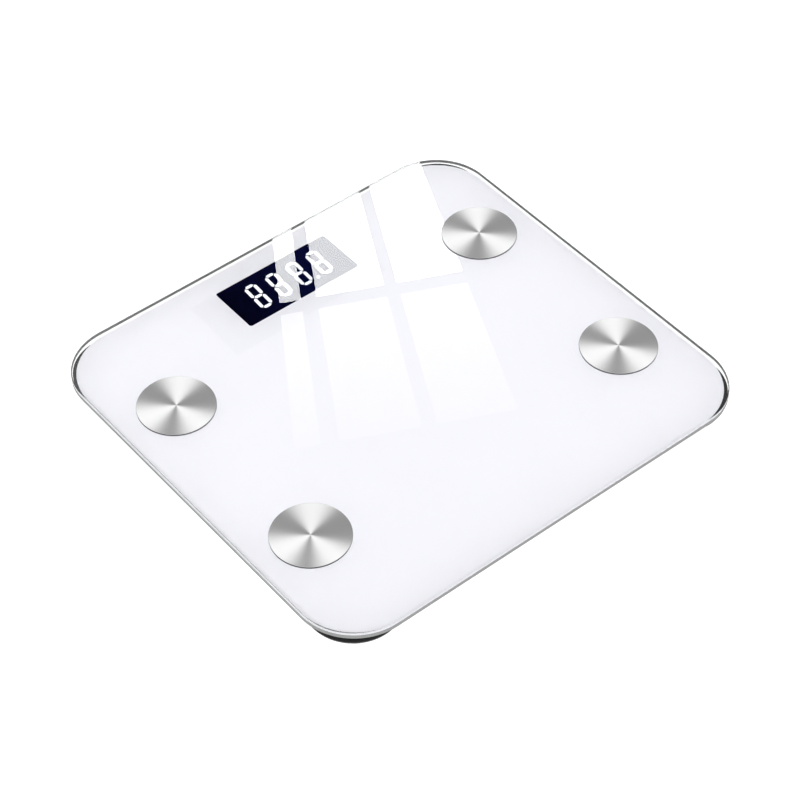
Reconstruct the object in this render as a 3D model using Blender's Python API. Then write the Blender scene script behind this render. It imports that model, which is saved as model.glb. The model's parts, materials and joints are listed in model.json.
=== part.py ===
"""Digital bathroom scale: a glass platform with four steel electrodes, on four sprung feet.

Metres, +Z up. +Y points to the display edge, +X to the right of the person standing on it.
The origin is on the floor, under the middle of the platform. A person's weight runs from the
glass through a round housing at each corner into a load cell, and from it into the foot.
"""

import math

import bmesh
import bpy
from mathutils import Matrix, Vector, geometry

MM = 0.001
TOUCH = 0.3 * MM  # left between pieces that touch
BOND = 0.1 * MM  # left between pieces that are glued together
SIDES = (("left", -1), ("right", 1))
ENDS = (("front", -1), ("rear", 1))

# Glass platform. The printed film under it leaves a clear rim and a clear display window.
PLATE_X, PLATE_Y, PLATE_THICK = 280 * MM, 260 * MM, 4 * MM
PLATE_TOP = 24 * MM
PLATE_BASE = PLATE_TOP - PLATE_THICK
PLATE_CORNER = 34 * MM
PLATE_CHAMFER = 0.6 * MM
CLEAR_RIM, FILM_CORNER = 2 * MM, 34 * MM
FILM_THICK = 0.2 * MM
FILM_TOP, FILM_BASE = PLATE_BASE - BOND, PLATE_BASE - BOND - FILM_THICK
MOULDING_TOP = FILM_BASE - BOND
WINDOW_X, WINDOW_Y, WINDOW_AT_Y, WINDOW_CORNER = 76 * MM, 33 * MM, 98.5 * MM, 1.5 * MM

# Electrodes: a steel disc on the glass, its stud through a bushed hole, a nut below. The four sit
# about a point 1 mm in front of the middle.
ELECTRODE_AT_X, ELECTRODE_AT_Y = 105.5 * MM, {"front": -59.3 * MM, "rear": 57.3 * MM}
ELECTRODE_R, ELECTRODE_RISE, ELECTRODE_EDGE = 21.5 * MM, 1 * MM, 0.3 * MM
GLASS_HOLE_R = 4 * MM
STUD_R, STUD_END = 2 * MM, 14.2 * MM
BUSH_R, BUSH_BORE_R, BUSH_FLANGE_R, BUSH_FLANGE = 3.7 * MM, 2.3 * MM, 6.5 * MM, 0.8 * MM
TERMINAL_TOP, TERMINAL_THICK, TERMINAL_R = 18.4 * MM, 0.8 * MM, 4 * MM
TAIL_LENGTH, TAIL_WIDTH = 7 * MM, 3 * MM
NUT_TOP, NUT_THICK, NUT_ACROSS_CORNERS = 17.3 * MM, 2.4 * MM, 8.1 * MM

# Corner foot, from the glass down: housing, load cell, retainer, foot, rubber pad.
FOOT_AT_X, FOOT_AT_Y = 110.5 * MM, 100.5 * MM
HOUSING_R, HOUSING_WALL, HOUSING_LIP_R = 27 * MM, 1.8 * MM, 16.3 * MM
HOUSING_SKIRT = 3 * MM
HOUSING_BASE, HOUSING_CEILING = 5.5 * MM, 17 * MM
HOUSING_SHOULDER_R, HOUSING_SHOULDER = 25.6 * MM, 13.8 * MM
HOUSING_BASE_R = 18.4 * MM
LIP_TOP = 7 * MM
SEAT_R, SEAT_INNER_R = 21.5 * MM, 18.5 * MM
CELL_SIZE, CELL_TOP, CELL_THICK, CELL_CORNER = 34 * MM, 14.6 * MM, 2 * MM, 4 * MM
CELL_FRAME, CELL_SLOT = 5 * MM, 2 * MM
RETAINER_R, RETAINER_BORE_R, RETAINER_THICK = 20.4 * MM, 16 * MM, 1.5 * MM
FOOT_R, FOOT_FLANGE_R, FOOT_FLANGE, FOOT_BASE = 15.8 * MM, 17.4 * MM, 1.4 * MM, 2.2 * MM
FOOT_WALL, FOOT_FLOOR, FOOT_BOSS_R = 1.8 * MM, 1.8 * MM, 3.5 * MM
PAD_R, PAD_THICK, PAD_EDGE = 15.2 * MM, 1.9 * MM, 0.5 * MM

# Electronics housing under the display, with the battery bay in its front half.
CASE_X, CASE_FRONT, CASE_REAR = 62 * MM, 34 * MM, 122 * MM
CASE_BASE, CASE_FLOOR, CASE_WALL = 4.5 * MM, 1.6 * MM, 1.8 * MM
CASE_CORNER, CASE_BEVEL = 8 * MM, 2.2 * MM
CASE_INSIDE = CASE_BASE + CASE_FLOOR
BAY_X, BAY_FRONT, BAY_REAR = 26.2 * MM, 40.2 * MM, 64.8 * MM
BAY_TOP, BAY_WALL, BAY_ROOF = 17.3 * MM, 1.4 * MM, 1.1 * MM
DOOR_X, DOOR_REAR, DOOR_THICK = 28.4 * MM, 67.2 * MM, 1.5 * MM
TONGUE, TONGUE_THICK = 1.4 * MM, 0.7 * MM
GRIP_LENGTH, GRIP_PITCH, GRIP_COUNT, GRIP_DEPTH = 16 * MM, 2 * MM, 5, 0.4 * MM
GRIP_FROM_EDGE = 5 * MM
RAIL_X, RAIL_REAR, RAIL_TOP = 34.4 * MM, 71 * MM, 8.2 * MM

# Display and circuit board.
BOARD_X, BOARD_FRONT, BOARD_REAR = 56 * MM, 74 * MM, 119.6 * MM
BOARD_BASE, BOARD_THICK = 10.6 * MM, 1.6 * MM
BOARD_TOP = BOARD_BASE + BOARD_THICK
LCD_X, LCD_Y, LCD_LEDGE = 80 * MM, 38 * MM, 1.6 * MM
LCD_TOP, LCD_THICK = 19.4 * MM, 2.2 * MM
LIGHT_TOP, LIGHT_THICK = 16.9 * MM, 2.8 * MM
STRIP_INSET = 4 * MM
FRAME_WALL, FRAME_CORNER = 2 * MM, 1.5 * MM
CHIP_SIZE, CHIP_THICK, CHIP_AT_X, CHIP_AT_Y = 10 * MM, 1.4 * MM, -22 * MM, 86 * MM
SCREW_AT_X, SCREW_AT_Y = 51 * MM, 112 * MM
BOSS_R, BOSS_BORE_R, SCREW_R, SCREW_HEAD_R = 3 * MM, 1.5 * MM, 1.2 * MM, 2.4 * MM
SCREW_HEAD, SCREW_TIP = 1.4 * MM, 0.5 * MM
BUTTON_AT_X, BUTTON_AT_Y = 46 * MM, 88 * MM
BUTTON_R, BUTTON_FLANGE_R, BUTTON_TOP, BUTTON_RECESS = 3 * MM, 4.2 * MM, 7.1 * MM, 0.2 * MM
SWITCH_SIZE, SWITCH_BASE, SWITCH_WELL_R, SWITCH_WELL = 6 * MM, 8.2 * MM, 1.9 * MM, 9.3 * MM
PLUNGER_R, PLUNGER_BASE, PLUNGER_TOP = 1.5 * MM, 7.4 * MM, 8.6 * MM

# Two AAA cells side by side, their poles turned opposite ways.
CELL_R, CELL_LENGTH, CELL_EDGE, NUB_R, NUB = 5.2 * MM, 43.5 * MM, 0.5 * MM, 1.9 * MM, 1 * MM
BATTERY_AT_Z = 11.75 * MM
BATTERY_ROWS = (46.4 * MM, 58.6 * MM)
PLATE_GAUGE, CONTACT_HALF = 0.5 * MM, 4.4 * MM
NUB_END = BAY_X - PLATE_GAUGE - 2 * TOUCH
CELL_BACK = CELL_LENGTH + NUB - NUB_END
SPRING_WIRE, SPRING_R, SPRING_TIP_R = 0.35 * MM, 3.6 * MM, 2.2 * MM
SPRING_TURNS, SPRING_STEPS = 3.25, 10

# Wire ducts and harnesses under the glass.
DUCT_AT_X, DUCT_WIDTH, DUCT_END = 107.5 * MM, 20 * MM, 72.9 * MM
DUCT_BASE, DUCT_WALL, DUCT_BEVEL = 11.6 * MM, 1.2 * MM, 1 * MM
LEAD_GAP = 6 * MM  # in a side duct's ends, for the leads from the corners
CROSS_AT_Y, CROSS_WIDTH = 41 * MM, 13 * MM
LEAD_R, ELECTRODE_LEAD_R = 0.8 * MM, 0.6 * MM
LEAD_STEP, ELECTRODE_LEAD_STEP = 7 * MM, 4 * MM


def material(name, colour, roughness, metallic=0.0, transmission=0.0):
    """A Principled material of that name, made once."""
    found = bpy.data.materials.get(name)
    if found:
        return found
    made = bpy.data.materials.new(name)
    made.use_nodes = True
    shader = made.node_tree.nodes["Principled BSDF"]
    shader.inputs["Base Color"].default_value = (*colour, 1)
    shader.inputs["Roughness"].default_value = roughness
    shader.inputs["Metallic"].default_value = metallic
    shader.inputs["Transmission Weight"].default_value = transmission
    return made


def clear_glass():
    return material("clear_glass", (0.95, 0.98, 0.97), 0.02, transmission=1.0)


def white_film():
    return material("white_film", (0.92, 0.91, 0.97), 0.4)


def brushed_steel():
    return material("brushed_steel", (0.72, 0.72, 0.71), 0.28, metallic=1.0)


def black_plastic():
    return material("black_plastic", (0.015, 0.015, 0.017), 0.45)


def white_plastic():
    return material("white_plastic", (0.8, 0.8, 0.78), 0.5)


def black_rubber():
    return material("black_rubber", (0.02, 0.02, 0.02), 0.85)


def plated_steel():
    return material("plated_steel", (0.6, 0.6, 0.58), 0.35, metallic=1.0)


def add(name, mesh, finish, parent=None, at=(0, 0, 0), turn=0.0, smooth=True):
    """Puts a mesh in the scene as one named piece."""
    piece = bpy.data.objects.new(name, mesh)
    bpy.context.scene.collection.objects.link(piece)
    piece.parent = parent
    piece.location = at
    piece.rotation_euler.z = turn
    if not mesh.materials:
        mesh.materials.append(finish)
    if smooth:
        mesh.shade_smooth()
        mesh.set_sharp_from_angle(angle=math.radians(35))
    return piece


def finished(shape):
    """The mesh of a bmesh, closed and facing out."""
    bmesh.ops.remove_doubles(shape, verts=shape.verts, dist=1e-7)
    bmesh.ops.recalc_face_normals(shape, faces=shape.faces)
    mesh = bpy.data.meshes.new("piece")
    shape.to_mesh(mesh)
    shape.free()
    return mesh


def prism(outline, low, high):
    """A flat outline, given as (x, y) points, extruded from one height to another."""
    shape = bmesh.new()
    base = shape.faces.new([shape.verts.new((x, y, low)) for x, y in outline])
    made = bmesh.ops.extrude_face_region(shape, geom=[base])["geom"]
    tops = [v for v in made if isinstance(v, bmesh.types.BMVert)]
    bmesh.ops.translate(shape, verts=tops, vec=(0, 0, high - low))
    return finished(shape)


def block(x0, x1, y0, y1, low, high):
    return prism([(x0, y0), (x1, y0), (x1, y1), (x0, y1)], low, high)


def round_bar(x, y, radius, low, high, segments=24, turn=0.0):
    """An upright cylinder, or with few segments a regular prism."""
    turns = [turn + math.tau * i / segments for i in range(segments)]
    return prism([(x + radius * math.cos(a), y + radius * math.sin(a)) for a in turns], low, high)


def rounded(size_x, size_y, corner, steps=8, at=(0, 0)):
    """The outline of a rectangle with round corners, counter-clockwise."""
    points = []
    for quarter, (sx, sy) in enumerate(((1, 1), (-1, 1), (-1, -1), (1, -1))):
        x = at[0] + sx * (size_x / 2 - corner)
        y = at[1] + sy * (size_y / 2 - corner)
        for i in range(steps + 1):
            angle = (quarter + i / steps) * math.pi / 2
            points.append((x + corner * math.cos(angle), y + corner * math.sin(angle)))
    return points


def turned(profile, segments=28, axis="Z"):
    """A solid of revolution from (radius, height) points. It closes itself off the axis."""
    shape = bmesh.new()
    points = [shape.verts.new((r, 0, z)) for r, z in profile]
    edges = [shape.edges.new(pair) for pair in zip(points, points[1:])]
    if profile[0][0] > 0:
        edges.append(shape.edges.new((points[-1], points[0])))
    bmesh.ops.spin(
        shape, geom=points + edges, axis=(0, 0, 1), cent=(0, 0, 0), angle=math.tau, steps=segments,
        use_merge=True,
    )
    if axis == "X":
        bmesh.ops.rotate(shape, verts=shape.verts, matrix=Matrix.Rotation(math.pi / 2, 3, "Y"))
    return finished(shape)


def tube(route, radius, resolution=1):
    """A round wire along a list of points, capped at both ends."""
    curve = bpy.data.curves.new("wire", "CURVE")
    curve.dimensions = "3D"
    curve.bevel_depth = radius
    curve.bevel_resolution = resolution
    curve.use_fill_caps = True
    line = curve.splines.new("POLY")
    line.points.add(len(route) - 1)
    for point, place in zip(line.points, route):
        point.co = (*place, 1)
    wire = bpy.data.objects.new("wire", curve)
    bpy.context.scene.collection.objects.link(wire)
    shape = bmesh.new()
    shape.from_mesh(evaluated(wire))
    bpy.data.objects.remove(wire)
    return finished(shape)


def evaluated(thing):
    bpy.context.view_layer.update()
    graph = bpy.context.evaluated_depsgraph_get()
    return bpy.data.meshes.new_from_object(thing.evaluated_get(graph))


def shaped(base, joins=(), cuts=(), bevel=0.0, segments=1):
    """A mesh with its sharp edges bevelled, then other meshes joined to it, then others cut."""
    body = bpy.data.objects.new("body", base)
    tools = [bpy.data.objects.new("tool", mesh) for mesh in (*joins, *cuts)]
    for thing in (body, *tools):
        bpy.context.scene.collection.objects.link(thing)
    if bevel:
        edge = body.modifiers.new("Bevel", "BEVEL")
        edge.width = bevel
        edge.segments = segments
        edge.limit_method = "ANGLE"
        edge.angle_limit = math.radians(60)
    for i, tool in enumerate(tools):
        step = body.modifiers.new("Boolean", "BOOLEAN")
        step.operation = "UNION" if i < len(joins) else "DIFFERENCE"
        step.solver = "EXACT"
        step.object = tool
    mesh = evaluated(body)
    for thing in (body, *tools):
        bpy.data.objects.remove(thing)
    return mesh


def smooth_route(points, step):
    """Points about a step apart on a smooth curve through the given ones."""
    spots = [Vector(p) for p in points]
    before = [spots[0], *spots[:-1]]
    after = [*spots[1:], spots[-1]]
    slopes = [(b - a) / 6 for a, b in zip(before, after)]
    route = []
    for i in range(len(spots) - 1):
        start, end = spots[i], spots[i + 1]
        count = max(2, round((end - start).length / step) + 1)
        reach = min(1.0, (end - start).length / (3 * max(slopes[i].length, slopes[i + 1].length)))
        curve = geometry.interpolate_bezier(
            start, start + slopes[i] * reach, end - slopes[i + 1] * reach, end, count
        )
        route += curve[:-1]
    return [*route, spots[-1]]


def stud_holes(segments):
    """A cutter at each electrode, for the holes that its stud goes through."""
    return [
        round_bar(sx * ELECTRODE_AT_X, y, GLASS_HOLE_R, 0, 2 * PLATE_TOP, segments)
        for _, sx in SIDES
        for y in ELECTRODE_AT_Y.values()
    ]


def build_platform():
    outline = rounded(PLATE_X, PLATE_Y, PLATE_CORNER, steps=10)
    slab = prism(outline, PLATE_BASE, PLATE_TOP)
    glass = shaped(slab, cuts=stud_holes(24), bevel=PLATE_CHAMFER)
    add("glass_plate", glass, clear_glass())

    outline = rounded(PLATE_X - 2 * CLEAR_RIM, PLATE_Y - 2 * CLEAR_RIM, FILM_CORNER, steps=8)
    window = rounded(WINDOW_X, WINDOW_Y, WINDOW_CORNER, steps=3, at=(0, WINDOW_AT_Y))
    cuts = [prism(window, 0, PLATE_TOP), *stud_holes(16)]
    add("printed_film", shaped(prism(outline, FILM_BASE, FILM_TOP), cuts=cuts), white_film())


def electrode_mesh():
    top, base = PLATE_TOP + ELECTRODE_RISE, PLATE_TOP + TOUCH
    edge = ELECTRODE_EDGE
    rim = [
        (ELECTRODE_R - edge + edge * math.sin(a), top - edge + edge * math.cos(a))
        for a in (0, math.pi / 4, math.pi / 2)
    ]
    stud = [(STUD_R, base), (STUD_R, STUD_END + edge), (STUD_R - edge, STUD_END), (0, STUD_END)]
    return turned([(0, top), *rim, (ELECTRODE_R, base), *stud], segments=24)


def bush_mesh():
    flange_top = FILM_BASE - BOND
    flange_base = flange_top - BUSH_FLANGE
    profile = [
        (BUSH_BORE_R, PLATE_TOP - TOUCH), (BUSH_R, PLATE_TOP - TOUCH), (BUSH_R, flange_top),
        (BUSH_FLANGE_R, flange_top), (BUSH_FLANGE_R, flange_base), (BUSH_BORE_R, flange_base),
    ]
    return turned(profile, segments=12)


def nut_mesh():
    hexagon = round_bar(0, 0, NUT_ACROSS_CORNERS / 2, NUT_TOP - NUT_THICK, NUT_TOP, segments=6)
    return shaped(hexagon, cuts=[round_bar(0, 0, STUD_R + TOUCH, 0, PLATE_TOP, segments=12)])


def build_electrodes():
    disc, bush, nut = electrode_mesh(), bush_mesh(), nut_mesh()
    for end, y in ELECTRODE_AT_Y.items():
        for side, sx in SIDES:
            at = (sx * ELECTRODE_AT_X, y, 0)
            add(f"electrode_{end}_{side}", disc, brushed_steel(), at=at)
            add(f"stud_bush_{end}_{side}", bush, white_plastic(), at=at)
            add(f"stud_nut_{end}_{side}", nut, plated_steel(), at=at)


def housing_mesh():
    """A bowl with its mouth down. The ring inside its ceiling presses on the load cell's frame."""
    wall, ceiling = HOUSING_WALL, HOUSING_CEILING
    outside = [
        (0, MOULDING_TOP), (HOUSING_R, MOULDING_TOP), (HOUSING_R, MOULDING_TOP - HOUSING_SKIRT),
        (HOUSING_SHOULDER_R, HOUSING_SHOULDER), (HOUSING_BASE_R, HOUSING_BASE),
    ]
    inside = [
        (HOUSING_LIP_R, HOUSING_BASE), (HOUSING_LIP_R, LIP_TOP), (HOUSING_BASE_R, LIP_TOP),
        (HOUSING_SHOULDER_R - wall, HOUSING_SHOULDER), (HOUSING_R - wall, ceiling),
        (SEAT_R, ceiling), (SEAT_R, CELL_TOP + TOUCH), (SEAT_INNER_R, CELL_TOP + TOUCH),
        (SEAT_INNER_R, ceiling), (0, ceiling),
    ]
    bowl = turned([*outside, *inside], segments=28)
    half = LEAD_R + 2 * TOUCH
    lead_way = block(-half, half, -2 * HOUSING_R, -FOOT_R, CELL_TOP, ceiling - TOUCH / 2)
    return shaped(bowl, cuts=[lead_way])


def load_cell_mesh():
    """A stamped square: a tongue inside a frame, cut free on three sides."""
    low, high = CELL_TOP - CELL_THICK, CELL_TOP
    square = prism(rounded(CELL_SIZE, CELL_SIZE, CELL_CORNER, steps=3), low, high)
    outer = CELL_SIZE / 2 - CELL_FRAME
    inner = outer - CELL_SLOT
    root = -CELL_SIZE / 2 + CELL_FRAME
    slot = prism(
        [(-outer, root), (-inner, root), (-inner, inner), (inner, inner), (inner, root),
         (outer, root), (outer, outer), (-outer, outer)],
        0, PLATE_TOP,
    )
    return shaped(square, cuts=[slot])


def retainer_mesh():
    top = CELL_TOP - CELL_THICK - TOUCH
    base = top - RETAINER_THICK
    return turned(
        [(RETAINER_BORE_R, top), (RETAINER_R, top), (RETAINER_R, base), (RETAINER_BORE_R, base)],
        segments=20,
    )


def foot_mesh():
    """A cup with a flange that the housing's lip holds, and a boss that lifts the tongue."""
    boss_top = CELL_TOP - CELL_THICK - TOUCH
    flange_base = LIP_TOP + TOUCH
    flange_top = flange_base + FOOT_FLANGE
    bore, floor = FOOT_R - FOOT_WALL, FOOT_BASE + FOOT_FLOOR
    return turned(
        [(0, boss_top), (FOOT_BOSS_R, boss_top), (FOOT_BOSS_R, floor), (bore, floor),
         (bore, flange_top), (FOOT_FLANGE_R, flange_top), (FOOT_FLANGE_R, flange_base),
         (FOOT_R, flange_base), (FOOT_R, FOOT_BASE), (0, FOOT_BASE)],
        segments=20,
    )


def pad_mesh():
    return turned(
        [(0, PAD_THICK), (PAD_R, PAD_THICK), (PAD_R, PAD_EDGE), (PAD_R - PAD_EDGE, 0), (0, 0)],
        segments=20,
    )


def build_corners():
    housing, cell, retainer = housing_mesh(), load_cell_mesh(), retainer_mesh()
    foot, pad = foot_mesh(), pad_mesh()
    for end, sy in ENDS:
        for side, sx in SIDES:
            corner = bpy.data.objects.new(f"corner_{end}_{side}", None)
            bpy.context.scene.collection.objects.link(corner)
            corner.location = (sx * FOOT_AT_X, sy * FOOT_AT_Y, 0)
            corner.rotation_euler.z = 0 if sy > 0 else math.pi
            add(f"foot_housing_{end}_{side}", housing, black_plastic(), corner)
            add(f"load_cell_{end}_{side}", cell, plated_steel(), corner)
            add(f"cell_retainer_{end}_{side}", retainer, white_plastic(), corner)
            add(f"foot_{end}_{side}", foot, black_plastic(), corner)
            add(f"foot_pad_{end}_{side}", pad, black_rubber(), corner)


def build_case():
    """The tray around display, board and batteries, open to the glass, with a bay from below."""
    length, middle = CASE_REAR - CASE_FRONT, (CASE_REAR + CASE_FRONT) / 2
    outline = rounded(2 * CASE_X, length, CASE_CORNER, steps=5, at=(0, middle))
    shell = shaped(prism(outline, CASE_BASE, PLATE_TOP), bevel=CASE_BEVEL, segments=2)
    cavity = prism(
        rounded(2 * (CASE_X - CASE_WALL), length - 2 * CASE_WALL, CASE_CORNER - CASE_WALL, 5,
                at=(0, middle)),
        CASE_INSIDE, 2 * PLATE_TOP,
    )
    open_top = block(-2 * CASE_X, 2 * CASE_X, 0, 2 * CASE_REAR, MOULDING_TOP, 2 * PLATE_TOP)
    tray = shaped(shell, cuts=[cavity, open_top])

    deep = CASE_FLOOR / 2
    rails = block(-RAIL_X, RAIL_X, CASE_FRONT + CASE_WALL / 2, RAIL_REAR, CASE_INSIDE - deep, RAIL_TOP)
    bay_walls = block(
        -BAY_X - BAY_WALL, BAY_X + BAY_WALL, BAY_FRONT - BAY_WALL, BAY_REAR + BAY_WALL,
        CASE_INSIDE - deep, BAY_TOP + BAY_ROOF,
    )
    bosses = [
        round_bar(sx * SCREW_AT_X, SCREW_AT_Y, BOSS_R, CASE_INSIDE - deep, BOARD_BASE - TOUCH, 16)
        for _, sx in SIDES
    ]
    bores = [
        round_bar(sx * SCREW_AT_X, SCREW_AT_Y, BOSS_BORE_R, CASE_INSIDE, PLATE_TOP, 12)
        for _, sx in SIDES
    ]
    bay = block(-BAY_X, BAY_X, BAY_FRONT, BAY_REAR, 0, BAY_TOP)
    door_top = CASE_BASE + DOOR_THICK + TOUCH
    groove_base = CASE_BASE + DOOR_THICK - TONGUE_THICK - TOUCH
    doorway = block(-DOOR_X - TOUCH, DOOR_X + TOUCH, 0, DOOR_REAR + TOUCH, 0, door_top)
    groove = block(
        -DOOR_X - TONGUE - TOUCH, DOOR_X + TONGUE + TOUCH, 0, DOOR_REAR + TOUCH, groove_base, door_top
    )
    button_hole = round_bar(BUTTON_AT_X, BUTTON_AT_Y, BUTTON_R + TOUCH, 0, BOARD_BASE)
    way_half = CROSS_WIDTH / 2 - DUCT_WALL
    wire_ways = [
        block(
            sx * CASE_X - 2 * CASE_WALL, sx * CASE_X + 2 * CASE_WALL, CROSS_AT_Y - way_half,
            CROSS_AT_Y + way_half, DUCT_BASE + DUCT_WALL, PLATE_TOP,
        )
        for _, sx in SIDES
    ]
    cuts = [*bores, bay, doorway, groove, button_hole, *wire_ways]
    case = shaped(tray, joins=[rails, bay_walls, *bosses], cuts=cuts)
    add("electronics_housing", case, black_plastic())


def build_battery_door():
    """Slides out to the front on a tongue along each side."""
    middle = (CASE_FRONT + DOOR_REAR) / 2
    low, high = CASE_BASE, CASE_BASE + DOOR_THICK
    front, rear = CASE_FRONT + TOUCH - middle, DOOR_REAR - middle
    panel = block(-DOOR_X, DOOR_X, front, rear, low, high)
    tongues = block(-DOOR_X - TONGUE, DOOR_X + TONGUE, front, rear, high - TONGUE_THICK, high)
    grooves = []
    for i in range(GRIP_COUNT):
        y = CASE_FRONT - middle + GRIP_FROM_EDGE + i * GRIP_PITCH
        grooves.append(
            block(-GRIP_LENGTH / 2, GRIP_LENGTH / 2, y, y + GRIP_PITCH / 2, 0, low + GRIP_DEPTH)
        )
    door = shaped(panel, joins=[tongues], cuts=grooves)
    add("battery_door", door, black_plastic(), at=(0, middle, 0))


def build_unit_button():
    """A cap in the floor, held by its flange, under a tact switch whose plunger moves with it."""
    at = (BUTTON_AT_X, BUTTON_AT_Y, 0)
    flange, cap = CASE_INSIDE + TOUCH, CASE_BASE + BUTTON_RECESS
    button = turned(
        [(0, BUTTON_TOP), (BUTTON_FLANGE_R, BUTTON_TOP), (BUTTON_FLANGE_R, flange),
         (BUTTON_R, flange), (BUTTON_R, cap), (0, cap)],
        segments=20,
    )
    add("unit_button", button, white_plastic(), at=at)
    plunger = round_bar(0, 0, PLUNGER_R, PLUNGER_BASE, PLUNGER_TOP, segments=16)
    add("switch_plunger", plunger, black_plastic(), at=at)
    half = SWITCH_SIZE / 2
    body = block(-half, half, -half, half, SWITCH_BASE, BOARD_BASE - TOUCH)
    well = round_bar(0, 0, SWITCH_WELL_R, 0, SWITCH_WELL, segments=16)
    add("tact_switch", shaped(body, cuts=[well]), plated_steel(), at=at)


def build_board():
    holes = [
        round_bar(sx * SCREW_AT_X, SCREW_AT_Y, SCREW_R + TOUCH, 0, PLATE_TOP, 12) for _, sx in SIDES
    ]
    board = block(-BOARD_X, BOARD_X, BOARD_FRONT, BOARD_REAR, BOARD_BASE, BOARD_TOP)
    green = material("green_board", (0.02, 0.16, 0.07), 0.5)
    add("circuit_board", shaped(board, cuts=holes), green)

    half, top = CHIP_SIZE / 2, BOARD_BASE - TOUCH
    chip = block(-half, half, -half, half, top - CHIP_THICK, top)
    add("controller_chip", chip, black_plastic(), at=(CHIP_AT_X, CHIP_AT_Y, 0))

    head_base = BOARD_TOP + TOUCH
    head_top = head_base + SCREW_HEAD
    tip = CASE_INSIDE + 2 * SCREW_TIP
    screw = turned(
        [(0, head_top), (SCREW_HEAD_R * 0.8, head_top), (SCREW_HEAD_R, head_top - SCREW_HEAD / 2),
         (SCREW_HEAD_R, head_base), (SCREW_R, head_base), (SCREW_R, tip + SCREW_TIP), (0, tip)],
        segments=14,
    )
    for side, sx in SIDES:
        add(f"board_screw_{side}", screw, plated_steel(), at=(sx * SCREW_AT_X, SCREW_AT_Y, 0))


def build_display():
    """Glass panel over a light guide, in a frame on the board, joined to it by a rubber strip."""
    y0, y1 = WINDOW_AT_Y - LCD_Y / 2, WINDOW_AT_Y + LCD_Y / 2
    half = LCD_X / 2
    base, middle = LCD_TOP - LCD_THICK, LCD_TOP - LCD_THICK / 2
    lower = block(-half, half, y0, y1, base, middle)
    upper = block(-half, half, y0 + LCD_LEDGE, y1, middle - BOND, LCD_TOP)
    dark = material("display_glass", (0.01, 0.015, 0.05), 0.1)
    add("lcd_panel", shaped(lower, joins=[upper]), dark)

    strip_y = y0 + LCD_LEDGE + TOUCH
    light = block(-half, half, strip_y + TOUCH, y1, LIGHT_TOP - LIGHT_THICK, LIGHT_TOP)
    add("backlight_guide", light, white_plastic())
    strip_half = half - STRIP_INSET
    strip = block(-strip_half, strip_half, y0, strip_y, BOARD_TOP + TOUCH, base - TOUCH)
    add("lcd_connector", strip, black_rubber())

    inner_x, inner_y = half + TOUCH, LCD_Y / 2 + TOUCH
    outline = rounded(2 * (inner_x + FRAME_WALL), 2 * (inner_y + FRAME_WALL), FRAME_CORNER, 2,
                      at=(0, WINDOW_AT_Y))
    frame = prism(outline, BOARD_TOP + TOUCH, LCD_TOP)
    hollow = block(-inner_x, inner_x, WINDOW_AT_Y - inner_y, WINDOW_AT_Y + inner_y, 0, PLATE_TOP)
    add("lcd_frame", shaped(frame, cuts=[hollow]), black_plastic())


def build_batteries():
    """Cylinders along X. The front cell's positive end is at +X and the rear cell's at -X."""
    body_end = NUB_END - NUB
    shoulder = CELL_R - CELL_EDGE
    cell = turned(
        [(0, NUB_END), (NUB_R, NUB_END), (NUB_R, body_end), (shoulder, body_end),
         (CELL_R, body_end - CELL_EDGE), (CELL_R, CELL_EDGE - CELL_BACK), (shoulder, -CELL_BACK),
         (0, -CELL_BACK)],
        segments=24, axis="X",
    )
    label = material("battery_label", (0.05, 0.22, 0.2), 0.35)
    front, rear = BATTERY_ROWS
    add("battery_front", cell, label, at=(0, front, BATTERY_AT_Z))
    add("battery_rear", cell, label, at=(0, rear, BATTERY_AT_Z), turn=math.pi)


def contact_plate(x, y0, y1):
    """A flat contact against the bay's end wall, between two places along Y."""
    inner = x - math.copysign(PLATE_GAUGE, x)
    low, high = BATTERY_AT_Z - CONTACT_HALF, BATTERY_AT_Z + CONTACT_HALF
    return block(min(x, inner), max(x, inner), y0, y1, low, high)


def contact_spring(x, y):
    """A cone of wire from the plate at x to the flat end of a cell."""
    start = abs(x) - PLATE_GAUGE + SPRING_WIRE / 2
    end = CELL_BACK + TOUCH + SPRING_WIRE
    count = round(SPRING_TURNS * SPRING_STEPS)
    route = []
    for i in range(count + 1):
        share = i / count
        radius = SPRING_R + (SPRING_TIP_R - SPRING_R) * share
        angle = math.tau * SPRING_TURNS * share
        along = math.copysign(start + (end - start) * share, x)
        route.append(
            (along, y + radius * math.cos(angle), BATTERY_AT_Z + radius * math.sin(angle))
        )
    return tube(route, SPRING_WIRE)


def build_contacts():
    front, rear = BATTERY_ROWS
    half = CONTACT_HALF
    wall = BAY_X - TOUCH
    bridge = contact_plate(-wall, front - half, rear + half)
    add("bridge_contact", shaped(bridge, joins=[contact_spring(-wall, front)]), plated_steel())
    sprung = contact_plate(wall, rear - half, rear + half)
    add("spring_contact", shaped(sprung, joins=[contact_spring(wall, rear)]), plated_steel())
    add("plate_contact", contact_plate(wall, front - half, front + half), plated_steel())


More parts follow.
